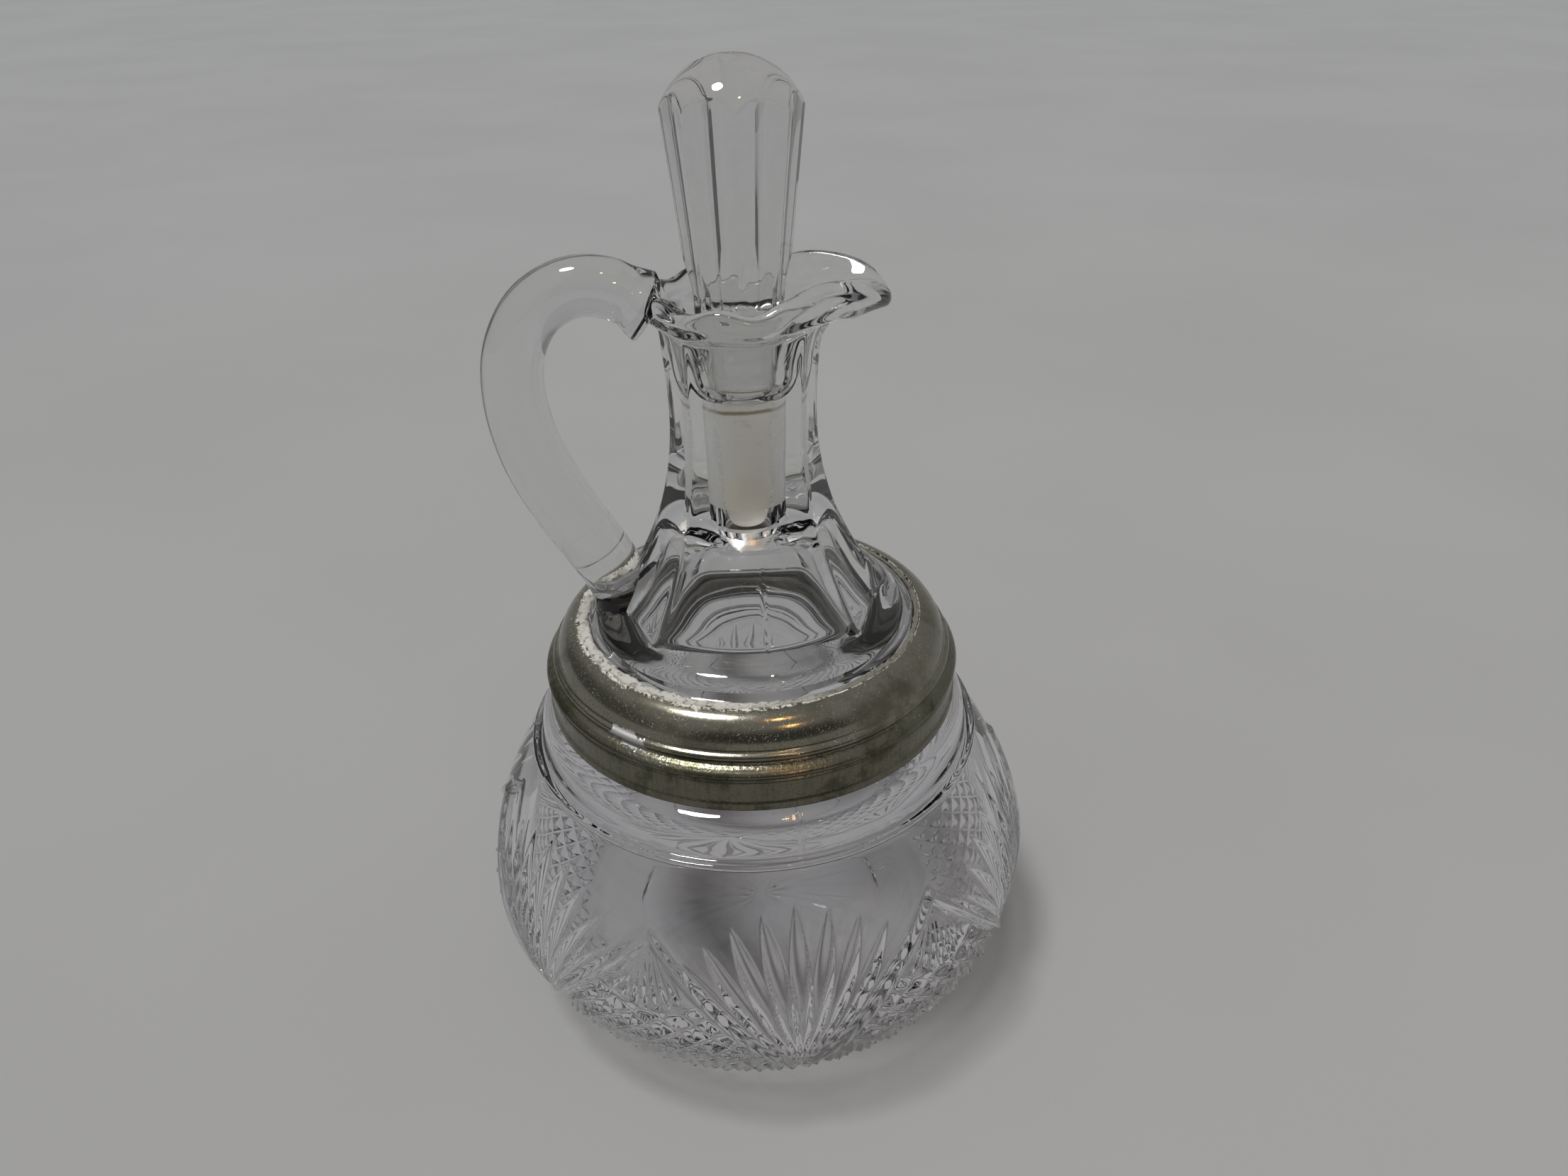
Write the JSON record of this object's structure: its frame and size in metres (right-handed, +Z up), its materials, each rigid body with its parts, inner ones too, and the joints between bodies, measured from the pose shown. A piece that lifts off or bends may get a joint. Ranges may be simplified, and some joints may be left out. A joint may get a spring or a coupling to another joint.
{
  "type": "glass cruet",
  "caption": "Clear pressed glass oil cruet with a squat fan-patterned bowl, a metal screw collar, a six-sided neck with spout and handle, and a ground glass stopper.",
  "frame": {"origin": "centre of the foot, on the plane that the cruet stands on", "axes": "+Z up through the neck and the stopper, +X towards the spout, -X towards the handle"},
  "size_m": [0.0976, 0.097, 0.1576],
  "materials": {
    "bowl_glass": "polished",
    "top_glass": "polished",
    "stopper_glass": "polished",
    "collar_metal": "satin",
    "cement": "matte",
    "washer": "matte"
  },
  "bodies": {
    "bowl_body": {"bowl": "bowl_glass"},
    "washer_body": {"seal_washer": "washer"},
    "top_body": {"screw_collar": "collar_metal", "cement_ring": "cement", "neck": "top_glass", "handle": "top_glass"},
    "stopper_body": {"stopper": "stopper_glass"}
  },
  "joints": [
    {"name": "collar_lift", "type": "slide", "parent": "bowl_body", "child": "washer_body", "axis": [0, 0, 1], "range_m": [0, 0.00475]},
    {"name": "collar_turn", "type": "hinge", "parent": "washer_body", "child": "top_body", "pos_m": [0, 0, 0.062], "axis": [0, 0, 1], "range_deg": [0, 455]},
    {"name": "stopper_lift", "type": "slide", "parent": "top_body", "child": "stopper_body", "axis": [0, 0, 1], "range_m": [0, 0.05]}
  ],
  "couplings": [
    {"joint": "collar_turn", "follows": "collar_lift", "rad_per_m": 1653.5}
  ]
}
